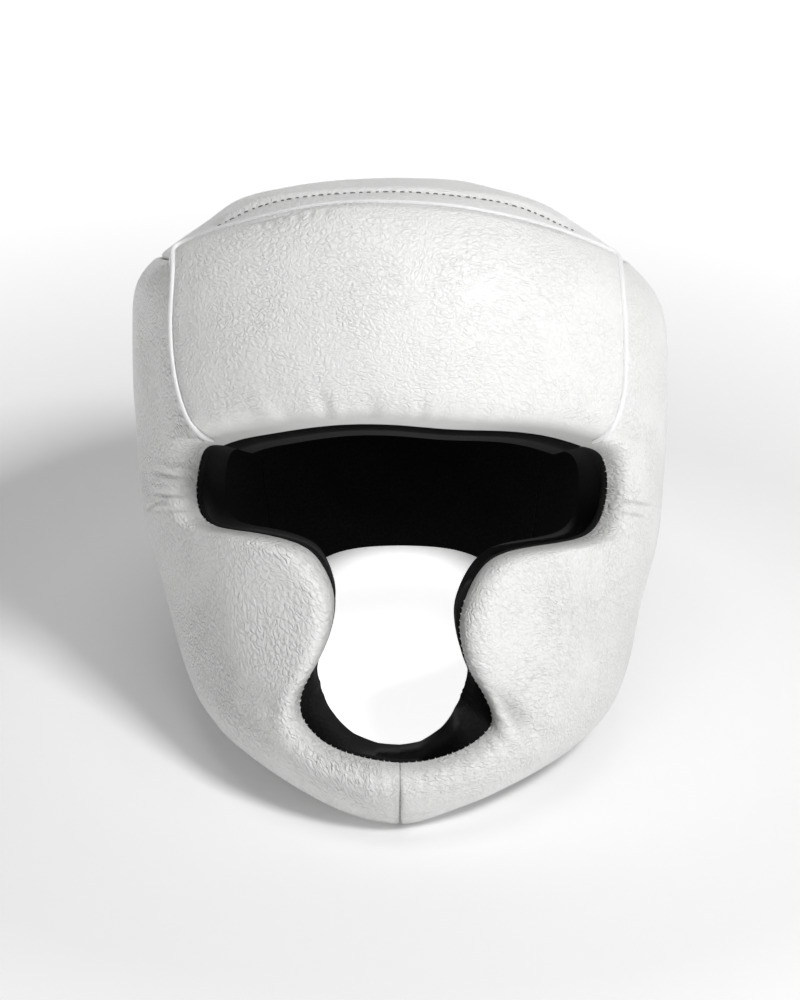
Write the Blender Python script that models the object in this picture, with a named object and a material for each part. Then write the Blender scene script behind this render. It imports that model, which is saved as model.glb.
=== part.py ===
"""A full-face head guard for combat sports: padded leather panels over a suede lining.

Metres, +Z up. The guard faces -Y and rests on the floor, z = 0, on its chin and on the two low
corners behind the ears. The panels are laid out in the worn frame, whose origin is the middle of
the head at eye level, and one empty then tilts them back into the rest pose.
"""

import bmesh
import bpy
import numpy as np
from mathutils import Matrix

# Head form, measured from the middle of the head to the outside of the padding
HALF_WIDTH = 0.1145
FRONT_REACH = 0.112
BACK_REACH = 0.122
CROWN_RISE = 0.135
CHIN_DROP = 0.131

# Padding and lining
PAD = 0.022
LINING = 0.0037
BROW_RAISE = 0.009
EDGE_ROLL = 0.009
BROW_ROLL = 0.010
SEAM_ROLL = 0.0045
RIM_ROLL = 0.007
LEATHER_TURN = 0.0015
HEM_TURN = 0.006
LINING_RUN = 0.012
SETBACK_RUN = 0.020
HEM_SETBACK = 0.002
NAPE_SETBACK = -0.003
BROW_SETBACK = 0.002
SEAM_GAP = 0.0003
BACK_EASE = 0.0003

# Trim
PIPING_RADIUS = 0.0011
STRAP_WIDTH = 0.046
STRAP_THICKNESS = 0.003
STRAP_LIFT = 0.0006

# How far the leather is pressed flat where the guard rests
PRESS = 0.0012
FLOOR_BLOCK = 0.5

# Azimuths are degrees from the front, positive to +X, and elevations are degrees of the section
# table below. They are shares of a turn, so they hold for any size of head.
REAR_SEAM = 135.0

# One row a section of the head form, from under the chin to the crown. rise is a share of
# CHIN_DROP below zero and of CROWN_RISE above it, left and right are shares of HALF_WIDTH, front
# and centre of FRONT_REACH, and back of BACK_REACH. Left and right differ as on the real guard.
SECTIONS = [
    # elevation, rise, left, right, front, centre, back
    (-90, -1.000, 0.000, 0.000, 0.700, 0.70, -0.643),
    (-80, -0.985, 0.150, 0.110, 0.840, 0.66, -0.420),
    (-70, -0.940, 0.292, 0.252, 0.970, 0.60, -0.150),
    (-60, -0.865, 0.450, 0.468, 1.055, 0.50, 0.180),
    (-50, -0.760, 0.620, 0.672, 1.095, 0.38, 0.500),
    (-40, -0.640, 0.744, 0.798, 1.090, 0.27, 0.710),
    (-30, -0.500, 0.815, 0.862, 1.060, 0.16, 0.840),
    (-20, -0.340, 0.868, 0.905, 1.025, 0.07, 0.900),
    (-10, -0.170, 0.925, 0.960, 1.000, 0.02, 0.930),
    (0, 0.000, 0.968, 0.985, 0.990, 0.00, 0.960),
    (10, 0.190, 0.985, 1.000, 1.000, 0.00, 0.990),
    (20, 0.380, 1.000, 1.000, 1.000, 0.00, 1.000),
    (30, 0.570, 1.000, 0.985, 0.975, 0.00, 0.985),
    (40, 0.720, 0.945, 0.870, 0.920, 0.00, 0.930),
    (50, 0.850, 0.742, 0.670, 0.800, 0.00, 0.800),
    (60, 0.930, 0.606, 0.510, 0.620, 0.00, 0.620),
    (70, 0.970, 0.430, 0.340, 0.420, 0.00, 0.420),
    (80, 0.995, 0.220, 0.180, 0.210, 0.00, 0.210),
    (90, 1.000, 0.000, 0.000, 0.000, 0.00, 0.000),
]

# One row a rib of a side pad, from the chin seam round the mouth and the eye to the brow corner.
# It starts on the face opening and ends on the hem or, from the row at REAR_SEAM, on the seam
# with the back pad. Setback is how far the lining's inner edge stands back from the leather
# edge of the opening, as a share of PAD.
RIBS = [
    # left azimuth, elevation, setback, right azimuth, elevation, setback, end azimuth, elevation
    (0.0, -54.7, 0.10, 0.0, -54.7, 0.10, 0.0, -82.0),
    (-10.0, -53.9, 0.12, 8.5, -54.3, 0.06, 18.0, -81.0),
    (-20.0, -52.2, 0.06, 17.0, -52.6, -0.10, 36.0, -77.5),
    (-27.5, -49.4, -0.12, 23.5, -49.9, -0.35, 50.0, -72.0),
    (-31.2, -45.0, -0.23, 27.2, -46.2, -0.47, 62.0, -65.0),
    (-31.2, -40.5, -0.21, 27.2, -43.0, -0.43, 73.0, -58.0),
    (-28.0, -35.4, -0.02, 25.0, -39.6, -0.27, 84.0, -51.5),
    (-23.0, -30.2, 0.12, 21.5, -35.4, -0.05, 94.0, -46.0),
    (-18.9, -24.5, 0.16, 17.5, -30.5, 0.03, 103.0, -41.0),
    (-16.8, -18.7, 0.16, 15.1, -24.0, 0.04, 112.0, -36.5),
    (-17.3, -14.2, 0.16, 15.1, -19.8, 0.04, 121.0, -33.0),
    (-19.8, -10.1, 0.14, 16.5, -15.8, 0.06, 129.0, -30.0),
    (-25.0, -6.9, 0.12, 20.5, -10.6, 0.10, 135.0, -27.0),
    (-36.0, -5.2, 0.10, 29.0, -8.0, 0.10, 135.0, -20.0),
    (-47.0, -4.7, 0.10, 42.0, -7.1, 0.10, 135.0, -13.0),
    (-55.0, -3.2, 0.10, 52.0, -5.3, 0.10, 135.0, -6.0),
    (-57.3, 0.6, 0.10, 56.5, -0.6, 0.10, 135.0, 0.0),
    (-55.8, 5.1, 0.10, 56.6, 4.5, 0.10, 135.0, 6.0),
    (-51.8, 9.4, 0.10, 52.7, 8.5, 0.10, 135.0, 12.0),
]

# The same, on up the side of the brow pad to its top corner.
BROW_SIDE = [
    # left azimuth, elevation, setback, right azimuth, elevation, setback, end azimuth, elevation
    (-45.0, 10.2, 0.10, 46.0, 10.0, 0.10, 135.0, 18.0),
    (-48.0, 13.2, 0.00, 48.7, 13.0, 0.00, 135.0, 24.0),
    (-50.7, 17.8, 0.00, 51.0, 17.5, 0.00, 135.0, 29.0),
    (-52.8, 25.0, 0.00, 51.8, 25.0, 0.00, 135.0, 33.5),
    (-53.0, 32.3, 0.00, 53.4, 31.3, 0.00, 135.0, 37.5),
    (-56.0, 37.6, 0.00, 57.5, 36.3, 0.00, 135.0, 41.0),
    (-63.0, 41.8, 0.00, 64.5, 40.8, 0.00, 135.0, 44.0),
]

# Bottom and top edge of the brow pad, from its left side (0) to its right (1).
BROW_EDGES = [
    # across, bottom elevation, top elevation
    (0.00, 10.2, 41.8),
    (0.06, 11.3, 45.4),
    (0.14, 12.3, 48.6),
    (0.25, 13.5, 52.0),
    (0.36, 14.3, 54.2),
    (0.50, 14.2, 54.4),
    (0.62, 13.5, 53.3),
    (0.75, 13.1, 50.5),
    (0.88, 12.0, 46.3),
    (1.00, 10.0, 40.8),
]

# Lower edge and crown seam of the back pad, by degrees from the middle of the back.
NAPE = [
    # from the middle, hem elevation, seam elevation
    (0.0, -14.4, 46.0),
    (14.0, -14.9, 45.8),
    (24.0, -16.5, 45.4),
    (32.0, -19.3, 44.9),
    (39.0, -23.1, 44.4),
    (45.0, -27.0, 44.0),
]

# Half height of the rear strap, as a share of half its width, by its share of length.
STRAP = [
    # along, half height
    (0.00, 0.60),
    (0.03, 0.88),
    (0.07, 1.00),
    (0.93, 1.00),
    (0.97, 0.88),
    (1.00, 0.60),
]
STRAP_START = 120.0
STRAP_ELEVATION = 12.0

BACK_COLUMNS = 12
CROWN_ROWS = (0.0, 0.10, 0.30, 0.62, 0.84, 1.0)
SIDE_ROWS = 5


def spline(knots, values, at):
    """Natural cubic spline through the rows of values, read at any places."""
    step = np.diff(knots)
    system = np.eye(len(knots))
    right = np.zeros(values.shape)
    for k in range(1, len(knots) - 1):
        system[k, k - 1 : k + 2] = step[k - 1], 2 * (step[k - 1] + step[k]), step[k]
        rise_after = (values[k + 1] - values[k]) / step[k]
        rise_before = (values[k] - values[k - 1]) / step[k - 1]
        right[k] = 6 * (rise_after - rise_before)
    bend = np.linalg.solve(system, right)
    k = np.clip(np.searchsorted(knots, at) - 1, 0, len(knots) - 2)
    width = step[k][..., None]
    a = (knots[k + 1] - at)[..., None] / width
    b = 1 - a
    curve = ((a**3 - a) * bend[k] + (b**3 - b) * bend[k + 1]) * width**2 / 6
    return a * values[k] + b * values[k + 1] + curve


def direction(azimuth, elevation):
    a = np.radians(azimuth)
    e = np.radians(elevation)
    return np.stack([np.sin(a) * np.cos(e), -np.cos(a) * np.cos(e), np.sin(e)], -1)


def unit(vectors):
    length = np.linalg.norm(vectors, axis=-1, keepdims=True)
    return vectors / np.maximum(length, 1e-12)


def form_surface(towards):
    """The point of the head form that each direction names."""
    table = np.array(SECTIONS, float)
    around = np.arctan2(towards[..., 0], -towards[..., 1])
    elevation = np.degrees(np.arcsin(np.clip(towards[..., 2], -1, 1)))
    section = spline(table[:, 0], table[:, 1:], elevation)
    rise, left, right, front, centre, back = np.moveaxis(section, -1, 0)
    across = np.sin(around)
    ahead = np.cos(around)
    middle = -centre * FRONT_REACH
    reach = np.where(ahead > 0, front * FRONT_REACH + middle, back * BACK_REACH - middle)
    x = across * HALF_WIDTH * np.where(across < 0, left, right)
    y = middle - ahead * reach
    z = rise * np.where(rise > 0, CROWN_RISE, CHIN_DROP)
    return np.stack([x, y, z], -1)


def inward(points):
    """The way through the padding: square to the ellipsoid with the same three half sizes."""
    squares = np.array([HALF_WIDTH, FRONT_REACH, CROWN_RISE]) ** 2
    return -unit(points / squares)


def head_point(azimuth, elevation, depth):
    """A point this many metres under the outside of the head form."""
    surface = form_surface(direction(azimuth, elevation))
    return surface + np.asarray(depth)[..., None] * inward(surface)


def roll_drop(distance, radius):
    """How far a rolled edge has dropped at this distance from the rim."""
    short = radius - np.minimum(distance, radius)
    return radius - np.sqrt(np.maximum(radius**2 - short**2, 0))


def edge_distances(points):
    """Distance of each grid point from the first and last column and the first and last row."""
    ends = (points[:1], points[-1:], points[:, :1], points[:, -1:])
    return [np.linalg.norm(points - end, axis=-1) for end in ends]


def drawn_in(points, amounts):
    """Moves the rims of a grid inward by these amounts: first and last column and row."""
    moved = points.copy()
    first, last, low, high = amounts
    moved[0] += first * unit(points[1] - points[0])
    moved[-1] += last * unit(points[-2] - points[-1])
    moved[:, 0] += low * unit(points[:, 1] - points[:, 0])
    moved[:, -1] += high * unit(points[:, -2] - points[:, -1])
    return moved


def set_back(points, gaps, amounts):
    """Moves the first and last rows of a grid back from their rims, less and less further in."""
    way = unit(np.gradient(points, axis=1))
    low, high = (np.clip(1 - gap / SETBACK_RUN, 0, 1) for gap in gaps[2:])
    return points + (amounts[0] * low - amounts[1] * high)[..., None] * way


class Panel:
    """A padded panel and the lining behind it, laid on a grid of azimuths and elevations.

    rolls holds the edge radius of the first and last column and the first and last row, free
    says which of them are free edges, where the lining comes forward to the leather, setback
    is how far the lining's inner edge stands back from the first and the last row, and turns
    how far the leather turns in.
    """

    def __init__(
        self, azimuth, elevation, rolls, free, setback, turns, lift=0.0, ease=0.0, closed=False
    ):
        surface = head_point(azimuth, elevation, np.zeros(azimuth.shape))
        gaps = edge_distances(surface)
        if closed:
            gaps[0] = gaps[1] = gaps[3] = np.full(azimuth.shape, 1.0)
        drop = np.sqrt(sum(roll_drop(gap, roll) ** 2 for gap, roll in zip(gaps, rolls)))
        limit = np.maximum.reduce([np.broadcast_to(roll, drop.shape) for roll in rolls])
        outer = np.minimum(drop, limit) - lift
        inner = np.full(azimuth.shape, PAD)
        for gap, is_free, turned in zip(gaps, free, turns):
            share = np.clip(gap / LINING_RUN, 0, 1)
            edge = EDGE_ROLL + turned
            wrapped = edge + (PAD - edge) * np.sqrt(share * (2 - share))
            inner = np.where(is_free, np.minimum(inner, wrapped), inner)
        half_gap = SEAM_GAP / 2
        side_gap = half_gap + ease
        rims = [0, 0, half_gap, 0] if closed else [side_gap, side_gap, half_gap, half_gap]
        self.closed = closed
        self.outer = drawn_in(head_point(azimuth, elevation, outer), rims)
        self.inner = drawn_in(head_point(azimuth, elevation, inner), rims)
        self.lining_outer = drawn_in(head_point(azimuth, elevation, inner + SEAM_GAP), rims)
        full = np.full(azimuth.shape, PAD + SEAM_GAP + LINING)
        lining_inner = drawn_in(head_point(azimuth, elevation, full), rims)
        self.lining_inner = set_back(lining_inner, gaps, setback)


def new_object(name, mesh_or_curve, material):
    obj = bpy.data.objects.new(name, mesh_or_curve)
    guard.objects.link(obj)
    obj.data.materials.append(material)
    obj.parent = worn
    return obj


def slab(name, outer, inner, material, closed=False):
    """A closed solid between two grids of points, made from a flat slab of the same cells."""
    columns, rows = outer.shape[0] - 1, outer.shape[1] - 1
    bm = bmesh.new()
    bmesh.ops.create_grid(bm, x_segments=columns, y_segments=rows, size=1.0)
    bmesh.ops.triangulate(bm, faces=bm.faces[:], quad_method="FIXED")
    bmesh.ops.solidify(bm, geom=bm.faces[:], thickness=0.5)
    level = max(v.co.z for v in bm.verts), min(v.co.z for v in bm.verts)
    place = {}
    for v in bm.verts:
        column = round((v.co.x + 1) / 2 * columns)
        row = round((v.co.y + 1) / 2 * rows)
        place[v] = column, row, abs(v.co.z - level[0]) < 0.1
    if closed:
        joins = [
            face
            for face in bm.faces
            if all(place[v][0] == 0 for v in face.verts)
            or all(place[v][0] == columns for v in face.verts)
            or all(place[v][1] == rows for v in face.verts)
        ]
        bmesh.ops.delete(bm, geom=joins, context="FACES")
    for v in bm.verts:
        column, row, is_outer = place[v]
        v.co = (outer if is_outer else inner)[column, row]
    if closed:
        bmesh.ops.remove_doubles(bm, verts=bm.verts[:], dist=0.00002)
    if bm.calc_volume(signed=True) < 0:
        bmesh.ops.reverse_faces(bm, faces=bm.faces[:])
    mesh = bpy.data.meshes.new(name)
    bm.to_mesh(mesh)
    bm.free()
    mesh.shade_smooth()
    return new_object(name, mesh, material)


def padded_pair(panel, pad_name, lining_name):
    slab(pad_name, panel.outer, panel.inner, white_leather, panel.closed)
    slab(lining_name, panel.lining_outer, panel.lining_inner, black_suede, panel.closed)


def rib_rows(start, end, near, far, inner_rows):
    """Shares of the way along a rib: the rolled rims by length, the rest evenly."""
    steps = np.linspace(0, 1, 41)
    line = start + (end - start) * steps[:, None]
    path = head_point(line[:, 0], line[:, 1], np.zeros(len(steps)))
    length = np.r_[0, np.cumsum(np.linalg.norm(np.diff(path, axis=0), axis=1))]
    total = length[-1]
    shoulder = 1 - np.sqrt(0.5)
    first = np.array([0, shoulder * near, near])
    last = total - np.array([far, shoulder * far, 0])
    middle = np.linspace(near, total - far, inner_rows + 2)[1:-1]
    return np.interp(np.r_[first, middle, last], length, steps)


def side_grid(side):
    """Azimuths and elevations of a side pad, and the number of its column at the brow corner."""
    first = 0 if side < 0 else 3
    table = np.array(RIBS + BROW_SIDE, float)
    starts = table[:, first : first + 2]
    ends = table[:, 6:] * np.array([side, 1])
    last = len(table) - 1
    stops = np.r_[0, 0.08, 0.28, np.arange(1, last), last - 0.35, last - 0.1, last]
    corner = len(RIBS)
    hem_end = int(np.argmax(table[:, 6] >= REAR_SEAM))
    rib = np.arange(len(table))
    grid = np.empty((len(stops), 6 + SIDE_ROWS, 2))
    for column, stop in enumerate(stops):
        start = np.array([np.interp(stop, rib, starts[:, k]) for k in (0, 1)])
        end = np.array([np.interp(stop, rib, ends[:, k]) for k in (0, 1)])
        near = EDGE_ROLL if stop <= corner else SEAM_ROLL
        far = EDGE_ROLL if stop <= hem_end else SEAM_ROLL
        shares = rib_rows(start, end, near, far, SIDE_ROWS)
        grid[column] = start + (end - start) * shares[:, None]
    near = np.where(stops <= corner, EDGE_ROLL, SEAM_ROLL)[:, None]
    far = np.where(stops <= hem_end, EDGE_ROLL, SEAM_ROLL)[:, None]
    rolls = (SEAM_ROLL, SEAM_ROLL, near, far)
    free = (False, False, (stops <= corner)[:, None], (stops <= hem_end)[:, None])
    back = PAD * np.interp(stops, rib, table[:, first + 2])[:, None]
    hem_back = np.where(stops <= hem_end, HEM_SETBACK, 0)[:, None]
    turns = (0, 0, LEATHER_TURN, HEM_TURN)
    return grid[..., 0], grid[..., 1], rolls, free, (back, hem_back), turns


def brow_grid():
    side = np.array(BROW_SIDE, float)
    edges = np.array(BROW_EDGES, float)
    rows = len(side) - 1
    stops = np.r_[0, 0.3, np.arange(1, rows), rows - 0.3, rows]
    left = np.stack([np.interp(stops, np.arange(rows + 1), side[:, k]) for k in (0, 1)], -1)
    right = np.stack([np.interp(stops, np.arange(rows + 1), side[:, k]) for k in (3, 4)], -1)
    across = np.r_[0, 0.02, 0.07, np.linspace(0.16, 0.84, 9), 0.93, 0.98, 1]
    azimuth = left[:, 0] + (right[:, 0] - left[:, 0]) * across[:, None]
    shares = []
    for edge in (left, right):
        shares.append((edge[:, 1] - edge[0, 1]) / (edge[-1, 1] - edge[0, 1]))
    share = shares[0] + (shares[1] - shares[0]) * across[:, None]
    bottom = np.interp(across, edges[:, 0], edges[:, 1])[:, None]
    top = np.interp(across, edges[:, 0], edges[:, 2])[:, None]
    return azimuth, bottom + (top - bottom) * share


def back_grid():
    nape = np.array(NAPE, float)
    half = 180 - REAR_SEAM
    from_middle = half * np.r_[-1, -0.97, -0.88, np.linspace(-0.75, 0.75, BACK_COLUMNS - 5), 0.88, 0.97, 1]
    hem = np.interp(np.abs(from_middle), nape[:, 0], nape[:, 1])
    seam = np.interp(np.abs(from_middle), nape[:, 0], nape[:, 2])
    rear = np.array([row[7] for row in RIBS + BROW_SIDE if row[6] >= REAR_SEAM])
    rear = (rear - rear[0]) / (rear[-1] - rear[0])
    shares = np.r_[0, 0.03, rear[1:-1:2], rear[-2], 0.985, 1]
    azimuth = (180 + from_middle)[:, None] + 0 * shares
    return azimuth, hem[:, None] + (seam - hem)[:, None] * shares


def crown_grid(sides, brow, back):
    """Its seam has the same points as the tops of the panels round it."""
    left, right = sides
    seam = [(a, e) for a, e in zip(brow[0][:, -1], brow[1][:, -1])]
    seam += [(a, e) for a, e in zip(right[0][-1, 1:], right[1][-1, 1:])]
    seam += [(a, e) for a, e in zip(back[0][1:, -1], back[1][1:, -1])]
    seam += [(a + 360, e) for a, e in zip(left[0][-1, -2::-1], left[1][-1, -2::-1])]
    seam = np.array(seam)
    rows = np.array(CROWN_ROWS)
    azimuth = seam[:, :1] + 0 * rows
    elevation = seam[:, 1:] + (90 - seam[:, 1:]) * rows
    front = np.abs((seam[:, 0] + 180) % 360 - 180) < 60
    return azimuth, elevation, np.where(front, RIM_ROLL, SEAM_ROLL)[:, None]


def brow_piping(panel):
    """A thin piped seam on the shoulder of the brow pad: up one side, over its top and down."""
    grid = panel.outer
    normals = unit(np.cross(np.gradient(grid, axis=0), np.gradient(grid, axis=1)))
    facing = np.sign((normals * inward(grid)).sum(-1, keepdims=True))
    raised = grid - facing * normals * (PIPING_RADIUS + SEAM_GAP)
    points = np.concatenate([raised[1, :-1], raised[2:-2, -2], raised[-2, -2::-1]])
    curve = bpy.data.curves.new("brow_piping", "CURVE")
    curve.dimensions = "3D"
    curve.bevel_depth = PIPING_RADIUS
    curve.bevel_resolution = 1
    curve.use_fill_caps = True
    track = curve.splines.new("POLY")
    track.points.add(len(points) - 1)
    for knot, point in zip(track.points, points):
        knot.co = (*point, 1)
    return new_object("brow_piping", curve, white_leather)


def rear_strap():
    """One plain strap across the back, laid on the back pad and the ends of the side pads."""
    table = np.array(STRAP, float)
    along = np.unique(np.r_[table[:, 0], np.linspace(0.07, 0.93, 15)])
    half = np.interp(along, table[:, 0], table[:, 1]) * STRAP_WIDTH / 2
    degree = np.linalg.norm(
        head_point(180.0, STRAP_ELEVATION + 1, 0.0) - head_point(180.0, STRAP_ELEVATION, 0.0)
    )
    azimuth = STRAP_START + (360 - 2 * STRAP_START) * along
    across = np.array([-1, -0.5, 0, 0.5, 1])
    elevation = STRAP_ELEVATION + (half / degree)[:, None] * across
    azimuth = azimuth[:, None] + 0 * across
    under = np.full(azimuth.shape, -STRAP_LIFT)
    inner = head_point(azimuth, elevation, under)
    outer = head_point(azimuth, elevation, under - STRAP_THICKNESS)
    return slab("rear_strap", outer, inner, white_leather)


def settle(panels):
    """Tilt and place of the worn frame at rest: chin and rear corners level, on the floor."""
    points = np.concatenate([panel.outer.reshape(-1, 3) for panel in panels])
    ahead = points[points[:, 1] < 0]
    behind = points[points[:, 1] > 0]

    def lowest(group, tilt):
        return (group[:, 2] * np.cos(tilt) - group[:, 1] * np.sin(tilt)).min()

    low, high = 0.0, np.radians(45)
    for _ in range(40):
        tilt = (low + high) / 2
        if lowest(ahead, tilt) < lowest(behind, tilt):
            low = tilt
        else:
            high = tilt
    turned = points @ np.array(Matrix.Rotation(-tilt, 3, "X")).T
    middle = (turned.min(axis=0) + turned.max(axis=0)) / 2
    worn.rotation_euler = (-tilt, 0, 0)
    worn.location = (-middle[0], -middle[1], -turned[:, 2].min() - PRESS)


def flatten_on_floor(names):
    """The leather is flat where it rests: a block below the floor cuts it off there."""
    bpy.ops.mesh.primitive_cube_add(size=FLOOR_BLOCK, location=(0, 0, -FLOOR_BLOCK / 2))
    block = bpy.context.object
    block.name = "floor_block"
    for collection in block.users_collection:
        collection.objects.unlink(block)
    helpers.objects.link(block)
    block.hide_render = True
    block.display_type = "WIRE"
    for name in names:
        cut = bpy.data.objects[name].modifiers.new("flat_on_floor", "BOOLEAN")
        cut.operation = "DIFFERENCE"
        cut.solver = "EXACT"
        cut.object = block


def material(name, colour, roughness):
    made = bpy.data.materials.new(name)
    made.use_nodes = True
    shader = made.node_tree.nodes["Principled BSDF"]
    shader.inputs["Base Color"].default_value = (*colour, 1)
    shader.inputs["Roughness"].default_value = roughness
    shader.inputs["Metallic"].default_value = 0.0
    return made


for old in list(bpy.data.objects):
    bpy.data.objects.remove(old, do_unlink=True)

guard = bpy.data.collections.new("head_guard")
helpers = bpy.data.collections.new("helpers")
bpy.context.scene.collection.children.link(guard)
bpy.context.scene.collection.children.link(helpers)
helpers.hide_render = True
worn = bpy.data.objects.new("worn_frame", None)
guard.objects.link(worn)

white_leather = material("white_leather", (0.80, 0.80, 0.81), 0.45)
black_suede = material("black_suede", (0.012, 0.012, 0.012), 0.95)

grids = [side_grid(-1), side_grid(1)]
side_panels = [Panel(*grid) for grid in grids]
brow = brow_grid()
back = back_grid()
crown_azimuth, crown_elevation, crown_roll = crown_grid(grids, brow, back)

padded_pair(side_panels[0], "left_side_pad", "left_side_lining")
padded_pair(side_panels[1], "right_side_pad", "right_side_lining")
level = (0, 0, 0, 0)
low_edge = (False, False, True, False)
brow_turns = (0, 0, LEATHER_TURN, 0)
brow_panel = Panel(
    *brow, [BROW_ROLL] * 4, low_edge, (BROW_SETBACK, 0), brow_turns, lift=BROW_RAISE
)
padded_pair(brow_panel, "brow_pad", "brow_lining")
back_rolls = (SEAM_ROLL, SEAM_ROLL, EDGE_ROLL, SEAM_ROLL)
back_panel = Panel(
    *back, back_rolls, low_edge, (NAPE_SETBACK, 0), (0, 0, HEM_TURN, 0), ease=BACK_EASE
)
padded_pair(back_panel, "back_pad", "back_lining")
crown_rolls = (SEAM_ROLL, SEAM_ROLL, crown_roll, SEAM_ROLL)
crown_panel = Panel(
    crown_azimuth, crown_elevation, crown_rolls, [False] * 4, (0, 0), level, closed=True
)
padded_pair(crown_panel, "crown_pad", "crown_lining")
brow_piping(brow_panel)
rear_strap()

settle([*side_panels, brow_panel, back_panel, crown_panel])
flatten_on_floor(["left_side_pad", "right_side_pad"])
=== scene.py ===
"""Look of a full-face head guard: pebbled white leather pads over a black suede lining.

The pads are laid out again on the frame's form, on a finer grid, with their folds, puckers and
rolled edges, and take the place of the plain solids. Lengths are metres unless a name says mm.
"""

import math

import bmesh
import bpy
import numpy as np
from mathutils import Matrix, Vector, noise


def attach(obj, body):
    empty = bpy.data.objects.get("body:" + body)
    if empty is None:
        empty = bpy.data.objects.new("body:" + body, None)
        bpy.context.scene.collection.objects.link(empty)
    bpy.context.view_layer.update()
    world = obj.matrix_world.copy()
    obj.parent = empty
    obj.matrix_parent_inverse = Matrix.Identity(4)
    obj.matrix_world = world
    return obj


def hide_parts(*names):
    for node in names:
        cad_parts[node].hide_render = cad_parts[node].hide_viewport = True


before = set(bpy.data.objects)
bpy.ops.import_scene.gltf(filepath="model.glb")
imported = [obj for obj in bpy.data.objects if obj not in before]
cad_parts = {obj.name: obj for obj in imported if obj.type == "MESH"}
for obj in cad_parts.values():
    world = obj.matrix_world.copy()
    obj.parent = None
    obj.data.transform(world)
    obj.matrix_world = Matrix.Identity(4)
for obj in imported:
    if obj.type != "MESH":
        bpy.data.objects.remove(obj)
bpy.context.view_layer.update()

MM = 0.001

# Head form and padding, as in the frame's model
HALF_WIDTH = 0.1145
FRONT_REACH = 0.112
BACK_REACH = 0.122
CROWN_RISE = 0.135
CHIN_DROP = 0.131
PAD = 0.022
LINING = 0.0037
BROW_RAISE = 0.009
REAR_SEAM = 135.0

# Radii of the rolled edges, and how much further the leather turns in round a free one
EDGE_ROLL = 0.009
BROW_ROLL = 0.010
SEAM_ROLL = 0.0030
CHIN_ROLL = 0.0016
RIM_ROLL = 0.007
LEATHER_TURN = 0.0015
HEM_TURN = 0.006

# Linings: how far from a free edge they start to wrap round it, how far that edge is moved back
# and over what run, and the gaps and the lap at their seams
LINING_RUN = 0.012
SETBACK_RUN = 0.020
HEM_SETBACK = 0.002
NAPE_SETBACK = -0.003
BROW_SETBACK = 0.002
SEAM_GAP = 0.0003
BACK_EASE = 0.0003
LINING_LAP = 0.0002

# Piping on the brow pad's shoulder, and the stitched channel along the crown's front rim: how
# far in it runs, and between which y it fades in
PIPING_RADIUS = 0.0011
PIPING_SINK = 0.0004
PIPING_RING = 0.0050
PIPING_POINTS = 260
PIPING_COLUMN = 4
CHANNEL = 0.0240
CROWN_RIM_REACH = (-0.017, -0.039)

# Rear strap
STRAP_WIDTH = 0.046
STRAP_THICKNESS = 0.0026
STRAP_LIFT = 0.0006
STRAP_LAP = 0.0005
STRAP_START = 120.0
STRAP_ELEVATION = 12.0

# Fine grids: points across and up, and between the rolled edges of a side pad's rib
BROW_POINTS = (110, 54)
BACK_POINTS = (90, 70)
CROWN_ROWS = 46
RIB_ROWS = 46
RIB_SAMPLES = 61

# Folds: stretches of their path, what share of a half wave is left out at each end, and below
# which width and depth in mm a furrow is also painted darker, as painted shade
FOLD_STEPS = 8
FOLD_END = 0.10
SHARP_WIDTH = 1.5
DEEP_DENT = -3.0
# How far from each rim the leather is painted darker, as painted shade at its seams and rolled
# edges
RIM_SHADE_WIDTH = 0.0025

# Stitches: radius of the thread, pitch, and what share of a side pad's columns lies on the
# face opening
STRAP_THREAD = 0.00028
FACE_THREAD = 0.00024
CROWN_THREAD = 0.00034
CHIN_THREAD = 0.00026
STRAP_PITCH = 0.0035
FACE_PITCH = 0.0026
CROWN_PITCH = 0.0034
CHIN_PITCH = 0.0042
FACE_RIM_SHARE = 0.755

# Colours
LEATHER_WHITE = "#f6f6f5"
# The two greys below are painted shade, mixed into the leather in its grain's furrows and along
# its rims and marked furrows
GRAIN_SHADE_GREY = "#c0c0bf"
PAINTED_SHADE_GREY = "#a9a8a6"

# The worn frame at rest: tilted back on the chin and the two rear corners
REST_TILT = math.radians(23.3455)
REST_PLACE = (0.00001, 0.00516, 0.07910)
FLOOR_CLEAR = 0.0002

# Camera: straight ahead of the worn guard and a little above it, as far off as the photograph's
CAMERA_RISE = math.radians(4.0)
CAMERA_DISTANCE = 1.5
CAMERA_AIM = (0.0, 0.0, -0.003)
METRES_A_PIXEL = 0.0004307
FRAME_HEIGHT = 1000
SENSOR_MM = 36.0

# Floor: its size, and how strongly it glows beneath the guard, near it and far off
FLOOR_SIZE = 40.0
GLOW_BENEATH = 0.92
FLOOR_GLOW = 0.14
GLOW_BEYOND = 0.90
WORLD_LIGHT = 0.07

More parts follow.
